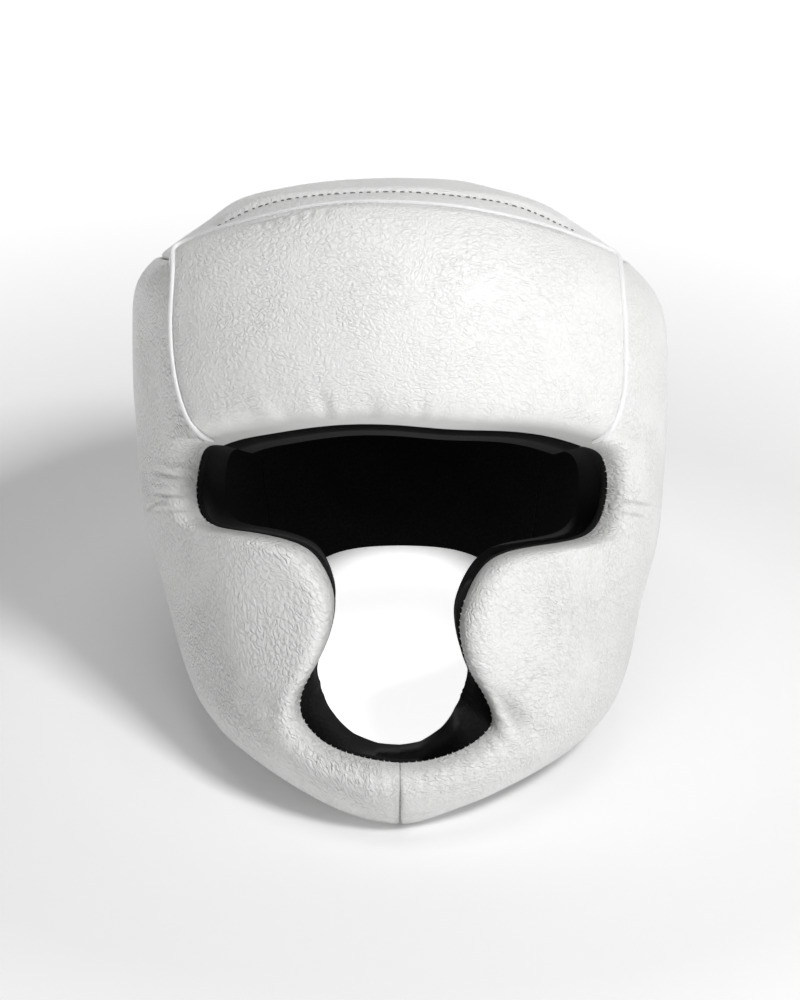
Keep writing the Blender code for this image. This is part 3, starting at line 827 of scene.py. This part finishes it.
def new_material(name, roughness, coat=0.0, sheen=0.0, specular=0.5):
    material = bpy.data.materials.new(name)
    material.use_nodes = True
    tree = material.node_tree
    shader = tree.nodes["Principled BSDF"]
    shader.inputs["Roughness"].default_value = roughness
    shader.inputs["Metallic"].default_value = 0.0
    shader.inputs["Specular IOR Level"].default_value = specular
    shader.inputs["Coat Weight"].default_value = coat
    shader.inputs["Coat Roughness"].default_value = 0.32
    shader.inputs["Sheen Weight"].default_value = sheen
    shader.inputs["Sheen Roughness"].default_value = 0.5
    place = add_node(tree, "ShaderNodeTexCoord").outputs["Object"]
    return material, tree, shader, place


def math_node(tree, operation, first, second=0.0):
    node = add_node(tree, "ShaderNodeMath", {"operation": operation}, n0=first, n1=second)
    return node.outputs[0]


def mixed(tree, factor, first, second):
    node = add_node(tree, "ShaderNodeMix", {"data_type": "RGBA"}, n0=factor, n6=first, n7=second)
    return node.outputs[2]


def mixed_value(tree, factor, first, second):
    node = add_node(tree, "ShaderNodeMix", {"data_type": "FLOAT"}, n0=factor, n2=first, n3=second)
    return node.outputs[0]


def map_range(tree, value, low, high, to_low, to_high):
    node = add_node(
        tree, "ShaderNodeMapRange", n0=value, n1=low, n2=high, n3=to_low, n4=to_high
    )
    return node.outputs[0]


def soft_noise(tree, place, scale, detail):
    node = add_node(tree, "ShaderNodeTexNoise", Vector=place, Scale=scale, Detail=detail)
    return node.outputs[0]


def bump_node(tree, shader, height, strength, distance):
    bump = add_node(
        tree, "ShaderNodeBump", Strength=strength, Distance=distance, Height=height
    )
    tree.links.new(bump.outputs[0], shader.inputs["Normal"])


def grain(tree, vector, turn, stretch, pitch_mm):
    """Height of a leather grain drawn out one way: rounded pebbles with furrows between them."""
    turned = add_node(tree, "ShaderNodeMapping", Vector=vector, Rotation=turn).outputs[0]
    narrowed = (1 / stretch, 1, 1)
    drawn = add_node(tree, "ShaderNodeMapping", Vector=turned, Scale=narrowed).outputs[0]
    swell = soft_noise(tree, drawn, 1000 / pitch_mm, 1.0)
    voronoi = {"feature": "DISTANCE_TO_EDGE"}
    scale = 1000 / (1.5 * pitch_mm)
    cells = add_node(tree, "ShaderNodeTexVoronoi", voronoi, Vector=drawn, Scale=scale)
    swell = map_range(tree, swell, 0.30, 0.70, 0.0, 0.45)
    cells = map_range(tree, cells.outputs["Distance"], 0.0, 0.28, 0.0, 0.55)
    return math_node(tree, "ADD", swell, cells)


def shifted(tree, place, vector, scale, amount):
    """The vector moved by soft noise, which bends what is laid over it."""
    noise_node = add_node(tree, "ShaderNodeTexNoise", Vector=place, Scale=scale, Detail=0.0)
    settings = {"operation": "MULTIPLY_ADD"}
    colour = noise_node.outputs["Color"]
    by = (amount,) * 3
    add = add_node(tree, "ShaderNodeVectorMath", settings, n0=colour, n1=by, n2=vector)
    return add.outputs[0]


def leather(name, lie, stretch, grain_mm, crease, tone=LEATHER_WHITE, calm=0.0):
    """Drawn grained leather. lie turns the grain, stretch lengthens it, grain_mm is its pitch,
    crease its height and calm smooths it towards the sewn edges."""
    material, tree, shader, place = new_material(name, 0.44, coat=0.10)
    edge = add_node(tree, "ShaderNodeAttribute", {"attribute_name": "edge"}).outputs["Fac"]
    bent = shifted(tree, place, place, 22.0, 0.018)
    bent = shifted(tree, place, bent, 380.0, 0.0018)
    along = grain(tree, bent, lie, stretch, grain_mm)
    across = grain(tree, bent, (lie[0], lie[1] + 1.25, lie[2]), stretch, grain_mm)
    fine = soft_noise(tree, place, 1800.0, 2.0)
    broad = soft_noise(tree, place, 30.0, 2.0)
    patch = soft_noise(tree, place, 45.0, 1.0)
    crossed = map_range(tree, patch, 0.54, 0.66, 0.0, 0.60)
    grained = mixed_value(tree, crossed, along, across)
    strength = map_range(tree, broad, 0.3, 0.7, 0.75 * crease, 1.10 * crease)
    calmed = map_range(tree, edge, 0.1, 0.7, 1.0, 1.0 - calm)
    strength = math_node(tree, "MULTIPLY", strength, calmed)
    height = math_node(tree, "MULTIPLY", grained, strength)
    height = math_node(tree, "ADD", height, math_node(tree, "MULTIPLY", fine, 0.12))
    bump_node(tree, shader, height, 1.0, 0.00060)
    # Painted shade: the grain's furrows are painted greyer in the leather's colour
    furrow = map_range(tree, grained, 0.15, 0.50, 0.22, 0.0)
    furrow = math_node(tree, "MULTIPLY", furrow, strength)
    colour = mixed(tree, furrow, linear_colour(tone), linear_colour(GRAIN_SHADE_GREY))
    # Painted shade: greyer along the pad's rims and in its marked furrows, as the edge attribute
    # says
    painted_shade = map_range(tree, edge, 0.25, 1.0, 0.0, 0.50)
    colour = mixed(tree, painted_shade, colour, linear_colour(PAINTED_SHADE_GREY))
    tree.links.new(colour, shader.inputs["Base Color"])
    gloss = map_range(tree, fine, 0.3, 0.7, 0.38, 0.52)
    tree.links.new(gloss, shader.inputs["Roughness"])
    return material


def suede_material():
    name = "black_brushed_suede"
    material, tree, shader, place = new_material(name, 0.95, sheen=0.03, specular=0.08)
    nap = soft_noise(tree, place, 900.0, 3.0)
    strokes = soft_noise(tree, place, 45.0, 3.0)
    worn = map_range(tree, nap, 0.3, 0.7, 0.0, 1.0)
    colour = mixed(tree, worn, linear_colour("#181818"), linear_colour("#232323"))
    brushed = map_range(tree, strokes, 0.4, 0.65, 0.0, 0.35)
    colour = mixed(tree, brushed, colour, linear_colour("#121213"))
    tree.links.new(colour, shader.inputs["Base Color"])
    bump_node(tree, shader, nap, 0.5, 0.0002)
    return material


def thread_material(name, light, dark):
    material, tree, shader, place = new_material(name, 0.55)
    bands = {"bands_direction": "DIAGONAL"}
    wave = add_node(
        tree, "ShaderNodeTexWave", bands, Vector=place, Scale=900.0, Distortion=2.0
    )
    twist = wave.outputs["Fac"]
    colour = mixed(tree, twist, linear_colour(light), linear_colour(dark))
    tree.links.new(colour, shader.inputs["Base Color"])
    bump_node(tree, shader, twist, 0.4, 0.0001)
    return material


def piping_piece(panel, ring):
    """The piped seam on the brow pad's shoulder: up one side, over its top and down the other."""
    raised = panel.outer + outward(panel.outer, False) * (PIPING_RADIUS - PIPING_SINK)
    up = raised[ring, : -ring - 1]
    over = raised[ring + 1 : -ring - 1, -ring - 1]
    down = raised[-ring - 1, -ring - 2 :: -1]
    points = np.concatenate([up, over, down])
    length = arc_length(points)
    places = np.linspace(0.0, length[-1], PIPING_POINTS)
    points = read_along(points, length, places)
    for _ in range(6):
        points[1:-1] = (points[:-2] + 2 * points[1:-1] + points[2:]) / 4
    points += 0.00012 * noise_field(points, 0.006, 5.5)[:, None] * inward(points)
    curve = bpy.data.curves.new("brow_piping_bead", "CURVE")
    curve.dimensions = "3D"
    curve.bevel_depth = PIPING_RADIUS
    curve.bevel_resolution = 3
    curve.use_fill_caps = True
    track = curve.splines.new("POLY")
    track.points.add(len(points) - 1)
    taper = np.clip(np.minimum(places, places[-1] - places) / 0.004, 0, 1)
    for knot, point, size in zip(track.points, at_rest(points), 0.55 + 0.45 * taper):
        knot.co = (*point, 1)
        knot.radius = size
    return new_piece("brow_piping_bead", curve, piping_leather, "white_leather", "brow_piping")


def strap_piece():
    """The rear strap: a band with a rounded tab lapped over it. Returns its rows of stitches."""
    outline = np.array(STRAP_OUTLINE)
    along = np.linspace(0, 1, 150)
    half = np.interp(along, outline[:, 0], outline[:, 1]) * STRAP_WIDTH / 2
    degree = head_point(180.0, STRAP_ELEVATION + 1) - head_point(180.0, STRAP_ELEVATION)
    azimuth = STRAP_START + (360 - 2 * STRAP_START) * along
    across = np.r_[-1, -0.985, -0.95, np.linspace(-0.9, 0.9, 22), 0.95, 0.985, 1]
    elevation = STRAP_ELEVATION + (half / np.linalg.norm(degree))[:, None] * across
    azimuth = azimuth[:, None] + 0 * across
    under = np.full(azimuth.shape, -STRAP_LIFT)
    inner = head_point(azimuth, elevation, under)
    border = np.minimum(1 - np.abs(across)[None, :], 8 * np.minimum(along, 1 - along)[:, None])
    crown = STRAP_THICKNESS * (0.72 + 0.28 * smooth_step(0.0, 0.09, border))
    lap = STRAP_LAP * smooth_step(0.618, 0.626, along)[:, None]
    groove = 0.0003 * bell(border - 0.16, 0.03)
    outer = head_point(azimuth, elevation, under - crown - lap + groove)
    mesh = slab_mesh("rear_strap_band", outer, inner, 0.2 + 0 * crown)
    new_piece("rear_strap_band", mesh, strap_leather, "white_leather", "rear_strap")
    lines = [outer[3:-3, row] for row in (3, len(across) - 4)]
    lines += [outer[column, 3:-3] for column in (4, 93, len(along) - 5)]
    rows = []
    for line in lines:
        points, way = sample(line, even_places(line, STRAP_PITCH))
        rows.append((points, way, -inward(points), 0.0024, STRAP_THREAD, 0.0001))
    return rows


def face_edge_rows(panel, runs):
    """Uneven whip stitches over the turned edge of the face opening, in three lengths."""
    count = int(FACE_RIM_SHARE * len(panel.outer))
    turned = panel.inner[:count, 0]
    rolled = panel.outer[:count, 0]
    opening = rolled - panel.outer[:count, 4]
    rows = []
    for start, end in runs:
        places = even_places(turned, FACE_PITCH, start, end)
        points, way = sample(turned, places)
        jitter = noise_field(points, 0.0023, 4.4)
        points, way = sample(turned, places + 0.0009 * jitter)
        shares = np.interp(places, arc_length(turned), np.arange(count))
        across = unit(read_along(rolled - turned, np.arange(count), shares))
        out = read_along(opening, np.arange(count), shares)
        out = unit(out - (out * across).sum(-1, keepdims=True) * across)
        wobble = 0.9 * noise_field(points, 0.0031, 2.2)[:, None] * way
        lengths = 0.0017 + 0.0010 * noise_field(points, 0.0027, 8.8)
        for k, longer in enumerate((0.7, 1.0, 1.25)):
            part = slice(k, None, 3)
            length = float(np.mean(lengths[part])) * longer
            slant = unit(across + wobble)[part]
            rows.append((points[part], slant, out[part], length, FACE_THREAD, 0.00008))
    return rows


def crown_rim_rows(line):
    """The row of stitches along the crown's front rim, in four lengths."""
    places = even_places(line, CROWN_PITCH)
    jitter = noise_field(sample(line, places)[0], 0.0042, 5.1)
    points, way = sample(line, places + 0.0006 * jitter)
    out = -inward(points)
    rows = []
    for k, length in enumerate((0.0022, 0.0015, 0.0026, 0.0018)):
        part = slice(k, None, 4)
        rows.append((points[part], way[part], out[part], length, CROWN_THREAD, 0.00010))
    return rows


def chin_seam_rows(line):
    """Short stitches across the chin seam, which close it."""
    points, _ = sample(line, even_places(line, CHIN_PITCH))
    across = np.broadcast_to(np.array([1.0, 0.12, 0.35]), points.shape)
    return [(points, unit(across), -inward(points), 0.0015, CHIN_THREAD, 0.0)]


# Materials
cheek_left = leather("white_pebbled_leather_left", (0.3, -0.95, 0.0), 2.2, 1.20, 1.00)
cheek_right = leather("white_pebbled_leather_right", (0.3, -0.35, 0.0), 1.8, 1.15, 0.90)
brow_leather = leather(
    "white_pebbled_leather_brow", (0.3, -0.10, 0.0), 2.0, 1.15, 0.72, calm=0.85
)
# The crown and back pads' leather is painted a little lighter than the others, as painted light on
# the crown
plain_leather = leather("white_pebbled_leather_crown", (0, 0, 0.4), 1.8, 1.5, 0.5, "#f8f8f7")
piping_leather = leather("white_piping_leather", (0.0, 0.0, 0.0), 1.0, 0.9, 0.2, "#f8f8f8")
strap_leather = leather("white_strap_leather", (0.0, 0.0, 0.0), 1.4, 1.2, 0.4, "#f0f0ef")
suede = suede_material()
white_thread = thread_material("white_thread", "#eeeeec", "#cfcfcd")
grey_thread = thread_material("grey_thread", "#8a8a89", "#505050")

# Pads and linings
sides = [side_grid(-1), side_grid(1)]
brow = brow_grid()
back = back_grid()
crown_azimuth, crown_elevation, crown_roll = crown_grid(sides, brow, back)
face_rim_free = (False, False, True, False)
left_panel = Panel("left_side", *sides[0])
right_panel = Panel("right_side", *sides[1])
brow_panel = Panel(
    "brow",
    *brow,
    [BROW_ROLL] * 4,
    face_rim_free,
    (BROW_SETBACK, 0),
    (0, 0, LEATHER_TURN, 0),
    lift=BROW_RAISE,
)
back_panel = Panel(
    "back",
    *back,
    (SEAM_ROLL, SEAM_ROLL, EDGE_ROLL, SEAM_ROLL),
    face_rim_free,
    (NAPE_SETBACK, 0),
    (0, 0, HEM_TURN, 0),
    ease=BACK_EASE,
)
crown_panel = Panel(
    "crown",
    crown_azimuth,
    crown_elevation,
    (SEAM_ROLL, SEAM_ROLL, crown_roll, SEAM_ROLL),
    [False] * 4,
    (0, 0),
    [0] * 4,
    closed=True,
)
pad_and_lining(left_panel, ("left_side_pad", "left_side_lining"), cheek_left)
pad_and_lining(right_panel, ("right_side_pad", "right_side_lining"), cheek_right)
pad_and_lining(brow_panel, ("brow_pad", "brow_lining"), brow_leather)
pad_and_lining(back_panel, ("back_pad", "back_lining"), plain_leather)
pad_and_lining(crown_panel, ("crown_pad", "crown_lining"), plain_leather)
piping_piece(brow_panel, PIPING_COLUMN)

# Stitches. On the face opening they stand on these shares of its edge, where they show
left_rows = face_edge_rows(left_panel, ((0.0, 0.30), (0.80, 0.97)))
right_rows = face_edge_rows(right_panel, ((0.0, 0.46), (0.84, 0.97)))
stitch_piece("face_edge_stitches", left_rows + right_rows, white_thread)
rim_line = offset_line(crown_panel.outer[: len(brow[0])], CHANNEL)
stitch_piece("crown_rim_stitches", crown_rim_rows(rim_line), grey_thread)
chin_line = left_panel.outer[0, 4:-6] * np.array([0.0, 1.0, 1.0])
stitch_piece("chin_seam_stitches", chin_seam_rows(chin_line), grey_thread)
stitch_piece("rear_strap_stitches", strap_piece(), white_thread)

# Floor, lights and camera
bpy.ops.mesh.primitive_plane_add(size=FLOOR_SIZE, location=(0, 0, 0))
floor = bpy.context.object
floor.name = "pale_floor"
floor_material, tree, shader, place = new_material("pale_floor_paint", 0.9, specular=0.1)
speck = soft_noise(tree, place, 3.0, 2.0)
floor_colour = mixed(tree, speck, linear_colour("#f6f6f6"), linear_colour("#f4f4f4"))
tree.links.new(floor_colour, shader.inputs["Base Color"])
shader.inputs["Emission Color"].default_value = (1, 1, 1, 1)
# The floor glows, and most beneath the guard, so that it is white through the face opening
distances = []
for narrow, move in ((1.9, -0.005), (1.0, 0.0)):
    settings = {"Vector": place, "Location": (0, move, 0), "Scale": (narrow, 1, 1)}
    scaled = add_node(tree, "ShaderNodeMapping", **settings).outputs[0]
    length = add_node(tree, "ShaderNodeVectorMath", {"operation": "LENGTH"}, n0=scaled)
    distances.append(length.outputs["Value"])
beneath = map_range(tree, distances[0], 0.085, 0.110, GLOW_BENEATH, FLOOR_GLOW)
beyond = map_range(tree, distances[1], 0.25, 0.85, FLOOR_GLOW, GLOW_BEYOND)
glow = math_node(tree, "MAXIMUM", beneath, beyond)
tree.links.new(glow, shader.inputs["Emission Strength"])
floor.data.materials.append(floor_material)

world = bpy.data.worlds.new("studio")
world.use_nodes = True
backdrop = world.node_tree.nodes["Background"]
backdrop.inputs["Color"].default_value = (1, 1, 1, 1)
backdrop.inputs["Strength"].default_value = WORLD_LIGHT
bpy.context.scene.world = world

LIGHTS = [
    # name, place, size, power
    ("key", (0.95, -1.00, 1.65), 0.45, 27.0),
    ("top", (-0.10, 0.20, 2.30), 1.20, 12.0),
]
for name, place, size, power in LIGHTS:
    light = bpy.data.lights.new(name, "AREA")
    light.shape = "SQUARE"
    light.size = size
    light.energy = power
    lamp = bpy.data.objects.new(name, light)
    lamp.location = place
    towards = Vector((0, 0, 0.1)) - Vector(place)
    lamp.rotation_euler = towards.to_track_quat("-Z", "Y").to_euler()
    bpy.context.scene.collection.objects.link(lamp)

camera_data = bpy.data.cameras.new("camera")
camera = bpy.data.objects.new("camera", camera_data)
bpy.context.scene.collection.objects.link(camera)
bpy.context.scene.camera = camera
turn = Matrix.Rotation(-REST_TILT, 3, "X")
aim = turn @ Vector(CAMERA_AIM) + Vector(REST_PLACE)
back_way = turn @ Vector((0, -math.cos(CAMERA_RISE), math.sin(CAMERA_RISE)))
camera.location = aim + back_way * CAMERA_DISTANCE
camera.rotation_euler = (-back_way).to_track_quat("-Z", "Y").to_euler()
camera_data.sensor_width = SENSOR_MM
camera_data.lens = SENSOR_MM * CAMERA_DISTANCE / (METRES_A_PIXEL * FRAME_HEIGHT)
camera_data.clip_start = 0.05
camera_data.clip_end = 20.0
bpy.context.scene.view_settings.view_transform = "Standard"
